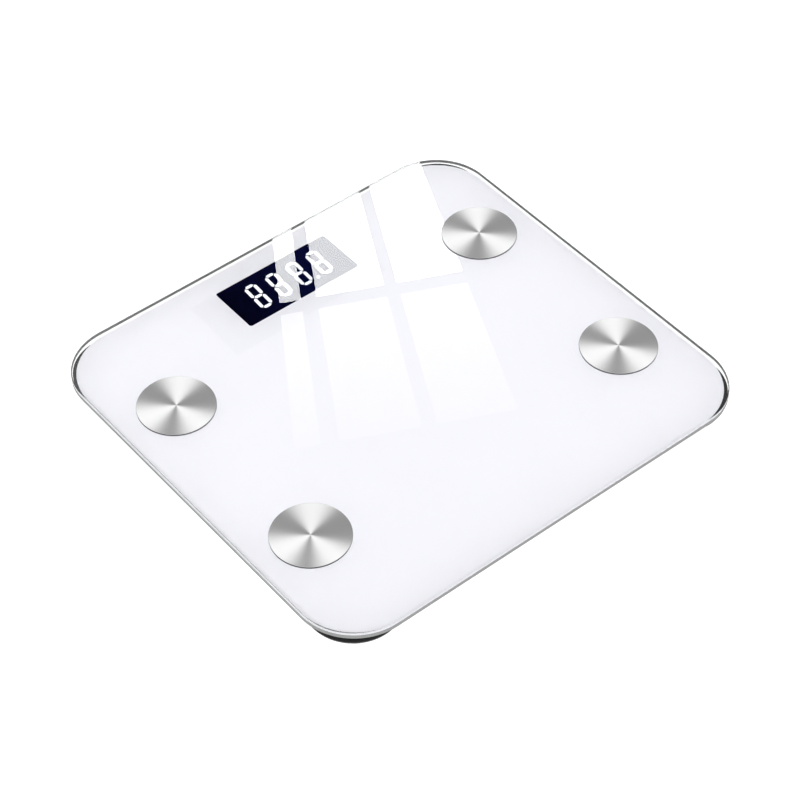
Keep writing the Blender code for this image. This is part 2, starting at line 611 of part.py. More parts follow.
def build_ducts():
    """Channels with their mouths to the glass: one down each side, one across to the case."""
    low, inside = DUCT_BASE, DUCT_BASE + DUCT_WALL
    half, end = DUCT_WIDTH / 2, DUCT_END
    hollow_half = half - DUCT_WALL
    y0, y1 = CROSS_AT_Y - CROSS_WIDTH / 2, CROSS_AT_Y + CROSS_WIDTH / 2
    groove_y0, groove_y1 = y0 + DUCT_WALL, y1 - DUCT_WALL
    for side, sx in SIDES:
        x = sx * DUCT_AT_X
        channel = block(x - half, x + half, -end, end, low, MOULDING_TOP)
        hollow = block(
            x - hollow_half, x + hollow_half, DUCT_WALL - end, end - DUCT_WALL, inside, PLATE_TOP
        )
        lead_x = x + sx * LEAD_GAP / 2
        ends = block(
            lead_x - LEAD_GAP / 2, lead_x + LEAD_GAP / 2, -2 * end, 2 * end, CELL_TOP - TOUCH, PLATE_TOP
        )
        face = x - sx * half
        mouth = block(
            face - 2 * DUCT_WALL, face + 2 * DUCT_WALL, groove_y0, groove_y1, inside, PLATE_TOP
        )
        duct = shaped(channel, cuts=[hollow, ends, mouth], bevel=DUCT_BEVEL)
        add(f"side_duct_{side}", duct, black_plastic(), smooth=False)

        near, far = sx * (CASE_X + TOUCH), face - sx * TOUCH
        x0, x1 = min(near, far), max(near, far)
        arm = block(x0, x1, y0, y1, low, MOULDING_TOP)
        groove = block(x0 - DUCT_WALL, x1 + DUCT_WALL, groove_y0, groove_y1, inside, PLATE_TOP)
        add(f"cross_duct_{side}", shaped(arm, cuts=[groove]), black_plastic(), smooth=False)


def harness_routes(end):
    """The load cell's lead and the electrode's, on the right-hand side, in millimetres."""
    if end == "front":
        lead = [(110.5, -86, 15.75), (110.5, -73, 15.75), (113, -65, 15.3), (115, -58, 15),
                (115, 22, 15), (112, 34, 15), (102, 38.4, 15), (90, 38.6, 15), (60, 38.6, 15),
                (51, 43, 14.6), (46.5, 56, 13.6), (46, 70, 13.5), (46, 80, 13.5)]
        branch = [(105.5, -53.5, 18), (107, -47.5, 17.2), (112, -42, 15.3), (115, -36, 15)]
    else:
        lead = [(110.5, 86, 15.75), (110.5, 73, 15.75), (113, 65, 15.3), (115, 60, 15), (114, 50, 15),
                (108, 44, 15), (98, 43.4, 15), (62, 43.4, 15), (54, 48, 14.6), (50.5, 60, 13.6),
                (50, 70, 13.5), (50, 80, 13.5)]
        branch = [(105.5, 51.5, 18), (105.2, 47.5, 16.8), (102.5, 44.2, 15.2), (98, 43.4, 15)]
    return lead, branch


def wire_along(route, sx, radius, step):
    """A wire on a smooth curve through a route in millimetres, mirrored where sx is -1."""
    return tube(smooth_route([(sx * x * MM, y * MM, z * MM) for x, y, z in route], step), radius)


def build_harnesses():
    """One for each corner: the cell's lead, with the electrode's lead and ring joined to it."""
    low = TERMINAL_TOP - TERMINAL_THICK
    jacket = material("wire_jacket", (0.6, 0.6, 0.58), 0.5)
    for end, sy in ENDS:
        lead, branch = harness_routes(end)
        for side, sx in SIDES:
            x, y = sx * ELECTRODE_AT_X, ELECTRODE_AT_Y[end]
            crimp = y - sy * TAIL_LENGTH
            tail = block(
                x - TAIL_WIDTH / 2, x + TAIL_WIDTH / 2, min(y, crimp), max(y, crimp), low, TERMINAL_TOP
            )
            ring = round_bar(x, y, TERMINAL_R, low, TERMINAL_TOP, 16)
            twig = wire_along(branch, sx, ELECTRODE_LEAD_R, ELECTRODE_LEAD_STEP)
            bore = round_bar(x, y, STUD_R + TOUCH, 0, PLATE_TOP, 12)
            trunk = wire_along(lead, sx, LEAD_R, LEAD_STEP)
            add(f"harness_{end}_{side}", shaped(trunk, joins=[twig, tail, ring], cuts=[bore]), jacket)


def build():
    for thing in list(bpy.data.objects):
        bpy.data.objects.remove(thing)
    build_platform()
    build_electrodes()
    build_corners()
    build_case()
    build_battery_door()
    build_unit_button()
    build_board()
    build_display()
    build_batteries()
    build_contacts()
    build_ducts()
    build_harnesses()


build()
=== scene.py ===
"""Looks for a digital bathroom scale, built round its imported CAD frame.

Metres, +Z up. +Y points to the display edge, +X to the right of the person standing on it.
"""

import json
import math

import bmesh
import bpy
from mathutils import Matrix, Vector


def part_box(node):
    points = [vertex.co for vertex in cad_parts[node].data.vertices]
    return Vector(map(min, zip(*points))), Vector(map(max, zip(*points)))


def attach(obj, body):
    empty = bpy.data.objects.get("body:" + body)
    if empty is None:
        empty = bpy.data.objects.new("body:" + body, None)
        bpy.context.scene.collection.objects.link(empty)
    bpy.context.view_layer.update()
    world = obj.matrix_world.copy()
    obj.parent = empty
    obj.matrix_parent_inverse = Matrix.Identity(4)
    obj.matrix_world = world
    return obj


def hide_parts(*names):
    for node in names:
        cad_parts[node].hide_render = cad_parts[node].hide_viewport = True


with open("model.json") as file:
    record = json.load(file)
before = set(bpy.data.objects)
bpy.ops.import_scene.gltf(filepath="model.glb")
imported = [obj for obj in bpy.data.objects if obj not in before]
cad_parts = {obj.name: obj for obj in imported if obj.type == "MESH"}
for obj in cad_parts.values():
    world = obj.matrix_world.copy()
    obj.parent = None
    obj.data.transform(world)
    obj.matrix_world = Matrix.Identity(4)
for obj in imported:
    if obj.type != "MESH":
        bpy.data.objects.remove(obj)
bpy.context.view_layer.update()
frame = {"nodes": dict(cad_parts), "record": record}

MM = 0.001
SIDES = (("left", -1), ("right", 1))
ENDS = (("front", -1), ("rear", 1))

# Places taken from the frame.
PLATE_LOW, PLATE_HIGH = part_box("glass_plate")
PLATE_BASE, PLATE_TOP = PLATE_LOW.z, PLATE_HIGH.z
PLATE_X, PLATE_Y = PLATE_HIGH.x - PLATE_LOW.x, PLATE_HIGH.y - PLATE_LOW.y
FILM_LOW, FILM_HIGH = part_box("printed_film")
FILM_X, FILM_Y = FILM_HIGH.x - FILM_LOW.x, FILM_HIGH.y - FILM_LOW.y
PANEL_LOW, PANEL_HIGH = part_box("lcd_panel")
PANEL_AT_Y = (PANEL_LOW.y + PANEL_HIGH.y) / 2

# Platform.
PLATE_CORNER, PLATE_EDGE, GROUND_BAND = 34 * MM, 0.6 * MM, 3 * MM
FILM_CORNER = 34 * MM
GLASS_HOLE_R, HOLE_REACH = 4 * MM, 2 * PLATE_TOP
BOND_DEPTH = 0.01 * MM  # the print sits this far inside the glass, so no air shows between them
WINDOW_X, WINDOW_Y, WINDOW_CORNER = 76 * MM, 33 * MM, 1.5 * MM

# Mesh limits: the angle from which a crease stays sharp, the normals that a flat top and a flat
# underside reach past, and a length that counts as nothing.
CREASE = math.radians(35)
FLAT_UP, FLAT_DOWN = 0.999, -0.97
HAIR = 0.01 * MM

# Electrodes.
RING_PITCH, RING_TILT, DISC_BOWL = 0.8 * MM, math.radians(13), 2.2
ELECTRODE_EDGE, ELECTRODE_EDGE_STEPS, ELECTRODE_CHAMFER = 0.2 * MM, 6, 0.1 * MM
# The second value is the band at each disc's rim whose upright faces get a painted shade: near-black,
# where the bare steel would catch light.
ELECTRODE_GAP, PAINTED_SHADE_BAND = 0.05 * MM, 0.15 * MM
STUD_R, STUD_CHAMFER = 2 * MM, 0.4 * MM

# The display's panel. Its navy is darkest at the left end and stops brightening at NAVY_END.
PANEL_GAP, PANEL_STEP, NAVY_END = 0.05 * MM, 0.2 * MM, 10 * MM

# Display figures: seven bars each, in a slanted cell. The dot stands between the last two.
FIGURE_COUNT, DOT_PLACE = 4, 2.5
FIGURE_PITCH, FIGURE_HEIGHT, FIGURE_WIDTH = 14.2 * MM, 20.5 * MM, 8 * MM
FIGURE_FIRST_X, FIGURE_BASE_Y = -20.8 * MM, 88.4 * MM
FIGURE_SLANT = math.radians(3)
BAR, BAR_GAP, BAR_SUNK = 2 * MM, 0.7 * MM, 0.05 * MM

# Corner feet.
HOUSING_WALL, HOUSING_SKIRT, HOUSING_EASE = 1.8 * MM, 3 * MM, 0.6 * MM
HOUSING_SHOULDER, HOUSING_SHOULDER_R = 13.8 * MM, 25.6 * MM
HOUSING_BASE_R, HOUSING_LIP_R, HOUSING_LIP, HOUSING_CEILING = 18.4 * MM, 16.3 * MM, 7 * MM, 17 * MM
LEAD_WAY_HALF, LEAD_WAY_LOW, LEAD_WAY_TOP = 1.4 * MM, 14.6 * MM, HOUSING_CEILING - 0.15 * MM
FOOT_R, FOOT_WALL, FOOT_BOSS_R, FOOT_EASE = 15.8 * MM, 1.8 * MM, 3.5 * MM, 0.4 * MM
FOOT_FLANGE_R, FOOT_FLANGE = 17.4 * MM, 1.4 * MM
PAD_GROOVES, PAD_GROOVE, PAD_EASE = (6 * MM, 10 * MM), 0.35 * MM, 0.5 * MM

# The tray under the display, its battery door and unit button, and the wire channels.
CASE_WALL, CASE_FLOOR, CASE_CORNER, CASE_EDGE = 1.8 * MM, 1.6 * MM, 8 * MM, 2.2 * MM
BAY_X, BAY_FRONT, BAY_REAR, BAY_TOP, BAY_WALL = 26.2 * MM, 40.2 * MM, 64.8 * MM, 17.3 * MM, 1.4 * MM
RAIL_X, RAIL_REAR, RAIL_TOP = 34.4 * MM, 71 * MM, 8.2 * MM
DOOR_TONGUE, TONGUE_THICK, DOOR_CORNER, DOOR_EDGE = 1.4 * MM, 0.7 * MM, 1 * MM, 0.35 * MM
GRIP_X, GRIP_PITCH, GRIP_COUNT, GRIP_FROM_EDGE, GRIP_DEPTH = 8 * MM, 2 * MM, 5, 5.5 * MM, 0.45 * MM
CHANNEL_WALL, CHANNEL_EDGE, LEAD_GAP, LEAD_WAY = 1.2 * MM, 1 * MM, 6 * MM, 14.3 * MM
TROUGH_CORNER, ARM_CORNER = 1.5 * MM, 1.1 * MM
CAP_R, CAP_DISH, CAP_EDGE = 3 * MM, 0.3 * MM, 0.3 * MM
FIT = 0.3 * MM  # play between moving parts
SLEEVE_HALF = 20.5 * MM  # half the length of a battery's printed sleeve

# Camera.
AZIMUTH, ELEVATION, ROLL = math.radians(-38.56), math.radians(46.64), math.radians(-0.76)
CAMERA_DISTANCE, CAMERA_TARGET = 1311 * MM, Vector((-11 * MM, -14.7 * MM, PLATE_TOP))
LENS, SENSOR = 110.9, 36

# Studio: the floor, the dim floor under the plate, and the window that the glass mirrors.
FLOOR_REACH, FLOOR_GLOW, FLOOR_ALBEDO = 20, 0.9, 0.25
SHADE_INSET, SHADE_HEIGHT, SHADE_GLOW = 4 * MM, 0.5 * MM, 0.06
PANES_AWAY = 1500 * MM
PANES_RISE, PANES_BEARING, PANES_TILT = math.radians(29.3), math.radians(34), math.radians(6.3)
PANE_COLUMNS = ((-127 * MM, -98 * MM), (-77 * MM, 14 * MM), (31 * MM, 120 * MM))
UPPER_ROW, LOWER_ROW, PANE_CORNER = (463 * MM, 1400 * MM), (-150 * MM, 404 * MM), 6 * MM
UPPER_GLOW, LOWER_GLOWS = 13, (0.8, 1.9)  # the lower panes' strengths at FADE_LOW and FADE_HIGH
FADE_LOW, FADE_HIGH = -150 * MM, 300 * MM
CARD_CORNERS = (
    (-188 * MM, 322 * MM), (24 * MM, 616 * MM), (-31 * MM, 915 * MM), (-251 * MM, 593 * MM),
)
CARD_BEHIND, CARD_GLOW = 20 * MM, 0.06

# Studio: the room's strength, and its strength in reflections and in the part that the glass
# mirrors. In degrees: the half-angles between which that part fades out, and each lamp's bearing
# round the discs and half-width.
ROOM_GLOW, MIRRORED_GLOW = 2.42, 0.38
MIRRORED_INNER, MIRRORED_OUTER = 40, 56
LAMPS = ((358, 11.5), (134, 18), (243, 20))


def across(azimuth, elevation):
    """The direction that a view from there looks along."""
    flat = math.cos(elevation)
    return Vector((-math.sin(azimuth) * flat, math.cos(azimuth) * flat, -math.sin(elevation)))


def make_camera():
    data = bpy.data.cameras.new("camera")
    data.lens = LENS
    data.sensor_width = SENSOR
    data.clip_start = 0.01
    data.clip_end = 100
    camera = bpy.data.objects.new("camera", data)
    bpy.context.scene.collection.objects.link(camera)
    aim = across(AZIMUTH, ELEVATION)
    camera.location = CAMERA_TARGET - aim * CAMERA_DISTANCE
    turn = aim.to_track_quat("-Z", "Y").to_matrix() @ Matrix.Rotation(ROLL, 3, "Z")
    camera.rotation_euler = turn.to_euler()
    bpy.context.scene.camera = camera


# Mesh tools.


def finished(shape):
    """The mesh of a bmesh, closed and facing out."""
    bmesh.ops.remove_doubles(shape, verts=shape.verts, dist=1e-7)
    bmesh.ops.recalc_face_normals(shape, faces=shape.faces)
    mesh = bpy.data.meshes.new("piece")
    shape.to_mesh(mesh)
    shape.free()
    return mesh


def rounded(size_x, size_y, corner, steps=24, at=(0, 0)):
    """The outline of a rectangle with round corners, counter-clockwise."""
    points = []
    for quarter, (sx, sy) in enumerate(((1, 1), (-1, 1), (-1, -1), (1, -1))):
        x = at[0] + sx * (size_x / 2 - corner)
        y = at[1] + sy * (size_y / 2 - corner)
        for i in range(steps + 1):
            angle = (quarter + i / steps) * math.pi / 2
            points.append((x + corner * math.cos(angle), y + corner * math.sin(angle)))
    return points


def skin(shape, rings):
    """Adds a closed body through rings of as many points each, lowest first."""
    loops = [[shape.verts.new(point) for point in ring] for ring in rings]
    for lower, upper in zip(loops, loops[1:]):
        for i, start in enumerate(lower):
            j = (i + 1) % len(lower)
            shape.faces.new((start, lower[j], upper[j], upper[i]))
    shape.faces.new(reversed(loops[0]))
    shape.faces.new(loops[-1])


def stacked(rings):
    shape = bmesh.new()
    skin(shape, rings)
    return finished(shape)


def prism(outline, low, high):
    return stacked([[(x, y, z) for x, y in outline] for z in (low, high)])


def block(x0, x1, y0, y1, low, high):
    return prism([(x0, y0), (x1, y0), (x1, y1), (x0, y1)], low, high)


def circle(radius, segments):
    turns = [math.tau * i / segments for i in range(segments)]
    return [(radius * math.cos(a), radius * math.sin(a)) for a in turns]


def round_bar(x, y, radius, low, high):
    return prism([(x + dx, y + dy) for dx, dy in circle(radius, 48)], low, high)


def lying_bar(half, y, z, radius):
    """A round bar along X, for cutting grooves."""
    return stacked([[(x, y + dy, z + dz) for dy, dz in circle(radius, 16)] for x in (-half, half)])


def eased_slab(size_x, size_y, corner, low, high, edge, steps=6, at=(0, 0), seam=None):
    """A plate with round corners and its upper and lower edges rounded to a radius.

    A seam is the height of one more ring of vertices round its side."""
    rings = []
    for centre, first in ((low + edge, -math.pi / 2), (high - edge, 0)):
        if seam and first == 0:
            rings.append([(x, y, seam) for x, y in rounded(size_x, size_y, corner, at=at)])
        for i in range(steps + 1):
            angle = first + math.pi / 2 * i / steps
            inset = edge * (1 - math.cos(angle))
            height = centre + edge * math.sin(angle)
            outline = rounded(size_x - 2 * inset, size_y - 2 * inset, corner - inset, at=at)
            rings.append([(x, y, height) for x, y in outline])
    return stacked(rings)


def eased(points, radius, steps=4):
    """A profile with its inner corners rounded to about a radius."""
    spots = [Vector(p) for p in points]
    path = [spots[0]]
    for before, corner, after in zip(spots, spots[1:], spots[2:]):
        back, ahead = before - corner, after - corner
        bend = math.pi - back.angle(ahead)
        reach = min(radius * math.tan(bend / 2), back.length * 0.45, ahead.length * 0.45)
        start, end = corner + back.normalized() * reach, corner + ahead.normalized() * reach
        for i in range(steps + 1):
            t = i / steps
            path.append(start.lerp(corner, t).lerp(corner.lerp(end, t), t))
    return [tuple(p) for p in (*path, spots[-1])]


def turned(profile, segments=96):
    """A solid of revolution from (radius, height) points that start and end on the axis."""
    shape = bmesh.new()
    points = [shape.verts.new((r, 0, z)) for r, z in profile]
    edges = [shape.edges.new(pair) for pair in zip(points, points[1:])]
    bmesh.ops.spin(
        shape, geom=points + edges, axis=(0, 0, 1), cent=(0, 0, 0), angle=math.tau, steps=segments,
        use_merge=True,
    )
    return finished(shape)


def shaped(base, joins=(), cuts=()):
    """A mesh with other meshes joined to it, then others cut from it."""
    body = bpy.data.objects.new("body", base)
    tools = [bpy.data.objects.new("tool", mesh) for mesh in (*joins, *cuts)]
    for thing in (body, *tools):
        bpy.context.scene.collection.objects.link(thing)
    for i, tool in enumerate(tools):
        step = body.modifiers.new("Boolean", "BOOLEAN")
        step.operation = "UNION" if i < len(joins) else "DIFFERENCE"
        step.solver = "EXACT"
        step.object = tool
    bpy.context.view_layer.update()
    graph = bpy.context.evaluated_depsgraph_get()
    mesh = bpy.data.meshes.new_from_object(body.evaluated_get(graph))
    for thing in (body, *tools):
        bpy.data.objects.remove(thing)
    return mesh


def middle_of(name):
    """The middle of a CAD node in plan."""
    low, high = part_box(name)
    return (low.x + high.x) / 2, (low.y + high.y) / 2


def add(name, mesh, material, body, node=None, at=(0, 0, 0), turn=0.0):
    """Puts a piece in the scene, smooth but for its flat caps, riding on a body."""
    piece = bpy.data.objects.new(name, mesh)
    bpy.context.scene.collection.objects.link(piece)
    piece.location = at
    piece.rotation_euler.z = turn
    mesh.materials.clear()
    mesh.materials.append(material)
    mesh.shade_smooth()
    mesh.set_sharp_from_angle(angle=CREASE)
    for face in mesh.polygons:
        if len(face.vertices) > 4:
            face.use_smooth = False
    if node:
        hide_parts(node)
    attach(piece, body)
    return piece


# Materials.


def node(tree, kind, inputs=(), **settings):
    """A shader node with its settings made and its inputs set or linked."""
    made = tree.nodes.new("ShaderNode" + kind)
    for name, value in settings.items():
        setattr(made, name, value)
    for name, value in dict(inputs).items():
        if isinstance(value, bpy.types.NodeSocket):
            tree.links.new(value, made.inputs[name])
        else:
            made.inputs[name].default_value = value
    return made


def principled(name, **values):
    """A Principled material with plain values on its sockets, its tree and its shader."""
    made = bpy.data.materials.new(name)
    made.use_nodes = True
    shader = made.node_tree.nodes["Principled BSDF"]
    for socket, value in values.items():
        shader.inputs[socket.replace("_", " ")].default_value = value
    return made, made.node_tree, shader


def link(tree, source, shader, socket):
    tree.links.new(source, shader.inputs[socket])


def noise(tree, scale, detail):
    """Noise in the object's own metres: scale is in features per metre."""
    place = node(tree, "TexCoord").outputs["Object"]
    grain = node(tree, "TexNoise", {"Vector": place, "Scale": scale, "Detail": detail})
    return grain.outputs["Fac"]


def spread(tree, value, low, high, start=0.3, end=0.7):
    """A value mapped to a range. The usual start and end are those of noise."""
    inputs = {"Value": value, "From Min": start, "From Max": end, "To Min": low, "To Max": high}
    return node(tree, "MapRange", inputs).outputs["Result"]


def blended(tree, value, low, high):
    """A colour between two, by a value."""
    mix = node(tree, "Mix", data_type="RGBA")
    tree.links.new(value, mix.inputs["Factor"])
    mix.inputs["A"].default_value = (*low, 1)
    mix.inputs["B"].default_value = (*high, 1)
    return mix.outputs["Result"]


def grained(name, dark, light, rough, grain, height, **values):
    """A moulded or cast finish: two near colours, uneven gloss and a fine grain."""
    made, tree, shader = principled(name, **values)
    cloud = noise(tree, 40, 4)
    link(tree, blended(tree, cloud, dark, light), shader, "Base Color")
    link(tree, spread(tree, noise(tree, grain / 3, 2), rough[0], rough[1]), shader, "Roughness")
    relief = {"Height": noise(tree, grain, 4), "Distance": height, "Strength": 0.6}
    link(tree, node(tree, "Bump", relief).outputs["Normal"], shader, "Normal")
    return made


def clear_glass():
    made, tree, shader = principled("clear_glass", IOR=1.52, Transmission_Weight=1.0, Roughness=0.0)
    tint = blended(tree, noise(tree, 6, 2), (0.985, 0.995, 0.99), (0.992, 0.998, 0.995))
    link(tree, tint, shader, "Base Color")
    return made


def ground_glass():
    """The plate's lower edge, left grey from the grinding."""
    made, tree, shader = principled("ground_glass", Specular_IOR_Level=0.0)
    tint = blended(tree, noise(tree, 300, 3), (0.175, 0.18, 0.178), (0.215, 0.22, 0.218))
    link(tree, tint, shader, "Base Color")
    link(tree, spread(tree, noise(tree, 1500, 2), 0.4, 0.6), shader, "Roughness")
    return made


def white_film():
    made, tree, shader = principled("white_film", Specular_IOR_Level=0.0)
    tint = blended(tree, noise(tree, 25, 3), (0.93, 0.925, 0.97), (0.94, 0.935, 0.975))
    link(tree, tint, shader, "Base Color")
    link(tree, spread(tree, noise(tree, 900, 2), 0.45, 0.6), shader, "Roughness")
    return made


def display_face():
    """Navy glass, darkest at its left end."""
    made, tree, shader = principled("display_face", Specular_IOR_Level=0.0, Roughness=0.3)
    place = node(tree, "SeparateXYZ", {"Vector": node(tree, "TexCoord").outputs["Object"]})
    rise = spread(tree, place.outputs["X"], 0, 1, -WINDOW_X / 2, NAVY_END)
    navy = blended(tree, rise, (0.001, 0.0005, 0.006), (0.0022, 0.0026, 0.027))
    link(tree, navy, shader, "Base Color")
    return made


def lit_figures():
    made, tree, shader = principled("lit_figures", Specular_IOR_Level=0.0, Emission_Strength=0.5)
    tint = blended(tree, noise(tree, 300, 2), (0.8, 0.82, 0.86), (0.86, 0.88, 0.9))
    link(tree, tint, shader, "Base Color")
    link(tree, tint, shader, "Emission Color")
    return made


def turned_steel():
    made, tree, shader = principled("turned_steel", Metallic=1.0, Anisotropic=0.6)
    tint = blended(tree, noise(tree, 60, 3), (0.72, 0.72, 0.72), (0.76, 0.76, 0.76))
    link(tree, tint, shader, "Base Color")
    place = node(tree, "TexCoord").outputs["Object"]
    wave = {"Vector": place, "Scale": 450.0}
    furrows = node(tree, "TexWave", wave, wave_type="RINGS", rings_direction="Z")
    link(tree, spread(tree, furrows.outputs["Fac"], 0.14, 0.2, 0, 1), shader, "Roughness")
    tangent = node(tree, "Tangent", direction_type="RADIAL", axis="Z").outputs["Tangent"]
    link(tree, tangent, shader, "Tangent")
    return made


# Painted shade: a near-black finish for the discs' upright edges, where the bare steel would catch
# light.
def painted_shade_steel():
    return grained(
        "painted_shade_steel", (0.004, 0.004, 0.0045), (0.008, 0.008, 0.0085), (0.3, 0.4), 1500,
        0.003 * MM, Specular_IOR_Level=0.1,
    )


def plated_steel():
    return grained(
        "plated_steel", (0.55, 0.55, 0.53), (0.66, 0.65, 0.62), (0.25, 0.4), 1500, 0.005 * MM,
        Metallic=1.0,
    )


def black_plastic():
    return grained(
        "black_plastic", (0.002, 0.002, 0.0025), (0.005, 0.005, 0.0055), (0.48, 0.6), 2200, 0.02 * MM,
        Specular_IOR_Level=0.08,
    )


def white_plastic():
    return grained("white_plastic", (0.76, 0.76, 0.74), (0.82, 0.82, 0.8), (0.4, 0.55), 2000, 0.01 * MM)


def black_rubber():
    return grained(
        "black_rubber", (0.014, 0.014, 0.014), (0.026, 0.025, 0.024), (0.75, 0.95), 1200, 0.04 * MM
    )


def wire_jacket():
    return grained("wire_jacket", (0.55, 0.55, 0.53), (0.63, 0.63, 0.6), (0.4, 0.55), 1500, 0.01 * MM)


def green_board():
    """Solder mask over fine copper tracks."""
    made, tree, shader = principled("green_board", Roughness=0.35)
    place = node(tree, "TexCoord").outputs["Object"]
    tracks = node(tree, "TexBrick", {"Vector": place, "Scale": 220.0, "Mortar Size": 0.08})
    tracks.inputs["Color1"].default_value = (0.01, 0.13, 0.05, 1)
    tracks.inputs["Color2"].default_value = (0.012, 0.16, 0.06, 1)
    tracks.inputs["Mortar"].default_value = (0.03, 0.26, 0.1, 1)
    link(tree, tracks.outputs["Color"], shader, "Base Color")
    relief = {"Height": tracks.outputs["Fac"], "Distance": 0.03 * MM, "Strength": 0.5}
    link(tree, node(tree, "Bump", relief).outputs["Normal"], shader, "Normal")
    return made


def battery_label():
    """A printed sleeve, its poles left bare."""
    made, tree, shader = principled("battery_label")
    place = node(tree, "SeparateXYZ", {"Vector": node(tree, "TexCoord").outputs["Object"]})
    along = node(tree, "Math", {0: place.outputs["X"]}, operation="ABSOLUTE").outputs["Value"]
    bare = node(tree, "Math", {0: along, 1: SLEEVE_HALF}, operation="GREATER_THAN").outputs["Value"]
    sleeve = blended(tree, noise(tree, 80, 2), (0.03, 0.18, 0.17), (0.05, 0.24, 0.22))
    mix = node(tree, "Mix", {"Factor": bare}, data_type="RGBA")
    tree.links.new(sleeve, mix.inputs["A"])
    mix.inputs["B"].default_value = (0.6, 0.6, 0.58, 1)
    link(tree, mix.outputs["Result"], shader, "Base Color")
    link(tree, bare, shader, "Metallic")
    link(tree, spread(tree, noise(tree, 900, 2), 0.25, 0.4), shader, "Roughness")
    return made


# Pieces.


def build_platform():
    seam = PLATE_BASE + GROUND_BAND
    slab = eased_slab(PLATE_X, PLATE_Y, PLATE_CORNER, PLATE_BASE, PLATE_TOP, PLATE_EDGE, seam=seam)
    holes = [round_bar(x, y, GLASS_HOLE_R, 0, HOLE_REACH) for x, y in electrode_places().values()]
    glass = shaped(slab, cuts=holes)
    piece = add("glass_slab", glass, clear_glass(), "platform", "glass_plate")
    glass.materials.append(ground_glass())
    for face in glass.polygons:  # the walls of the stud holes lie further in and stay clear
        outside = max(abs(face.center.x), abs(face.center.y)) > (PLATE_Y - PLATE_CORNER) / 2
        if outside and face.center.z < seam and face.normal.z > FLAT_DOWN:
            face.material_index = 1

    sheet = prism(rounded(FILM_X, FILM_Y, FILM_CORNER), FILM_LOW.z, PLATE_BASE + BOND_DEPTH)
    window = rounded(WINDOW_X, WINDOW_Y, WINDOW_CORNER, steps=8, at=(0, PANEL_AT_Y))
    film = shaped(sheet, cuts=[prism(window, 0, HOLE_REACH), *holes])
    add("film_layer", film, white_film(), "platform", "printed_film")


def electrode_places():
    """The middle of each electrode, by its CAD node."""
    names = [f"electrode_{end}_{side}" for end, _ in ENDS for side, _ in SIDES]
    return {name: middle_of(name) for name in names}


def electrode_mesh():
    """A disc on a stud, with a ring of vertices every RING_PITCH across its face."""
    low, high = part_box("electrode_front_left")
    radius, top = (high.x - low.x) / 2, high.z
    flat_r = radius - ELECTRODE_EDGE
    count = int(flat_r / RING_PITCH)
    profile = [(0, top)] + [((i + 1) * flat_r / count, top) for i in range(count)]
    for i in range(1, ELECTRODE_EDGE_STEPS + 1):
        angle = math.pi / 2 * i / ELECTRODE_EDGE_STEPS
        out, down = ELECTRODE_EDGE * math.sin(angle), ELECTRODE_EDGE * (1 - math.cos(angle))
        profile.append((flat_r + out, top - down))
    base = PLATE_TOP + ELECTRODE_GAP
    profile += [
        (radius, base + ELECTRODE_CHAMFER), (radius - ELECTRODE_CHAMFER, base), (STUD_R, base),
        (STUD_R, low.z + STUD_CHAMFER), (STUD_R - STUD_CHAMFER, low.z), (0, low.z),
    ]
    return turned(profile, segments=128)


def turned_normals(mesh, top, at):
    """Leans the normals of a disc's face outwards, as the fine furrows of a lathe do.

    A little lean to the platform's middle lets the four discs catch the light alike."""
    inward = -Vector(at) / DISC_BOWL
    normals = [tuple(corner.vector) for corner in mesh.corner_normals]
    for face in mesh.polygons:
        if face.normal.z < FLAT_UP or face.center.z < top - HAIR:
            continue
        middle = Vector(face.center).to_2d().normalized()
        for loop in face.loop_indices:
            spot = mesh.vertices[mesh.loops[loop].vertex_index].co.to_2d()
            out = spot.normalized() if spot.length > HAIR else middle
            normals[loop] = (*(out * math.sin(RING_TILT) + inward), math.cos(RING_TILT))
    mesh.normals_split_custom_set(normals)


def painted_shade_edge(mesh, radius, material):
    """Gives the upright edge of a disc a painted shade: near-black, where the bare steel side would
    reflect the bright print.
    """
    mesh.materials.append(material)
    for face in mesh.polygons:
        middle = Vector(face.center).to_2d().length
        if middle > radius - PAINTED_SHADE_BAND and abs(face.normal.z) < 0.5:
            face.material_index = 1


def build_electrodes():
    steel, edge = turned_steel(), painted_shade_steel()
    low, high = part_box("electrode_front_left")
    for name, (x, y) in electrode_places().items():
        mesh = electrode_mesh()
        disc = name.replace("electrode", "contact_disc")
        piece = add(disc, mesh, steel, "platform", name, at=(x, y, 0))
        painted_shade_edge(mesh, (high.x - low.x) / 2, edge)
        turned_normals(mesh, high.z, (x, y))
        piece.visible_transmission = False  # light still reaches the print under the disc's rim


def bar_outline(length):
    """A bar of a figure, lying along X, with pointed ends."""
    half, tip = length / 2, BAR / 2
    inner = half - tip
    return [(-half, 0), (-inner, -tip), (inner, -tip), (half, 0), (inner, tip), (-inner, tip)]


def figure_bars():
    """Centre, length and quarter-turn of each of the seven bars, about the cell's lower left."""
    span_x, span_y = FIGURE_WIDTH - BAR, (FIGURE_HEIGHT - BAR) / 2
    length_x, length_y = span_x - BAR_GAP, span_y - BAR_GAP
    left, right, low = BAR / 2, FIGURE_WIDTH - BAR / 2, BAR / 2
    bars = [((left + span_x / 2, low + i * span_y), length_x, False) for i in range(3)]
    for x in (left, right):
        bars += [((x, low + (i + 0.5) * span_y), length_y, True) for i in range(2)]
    return bars


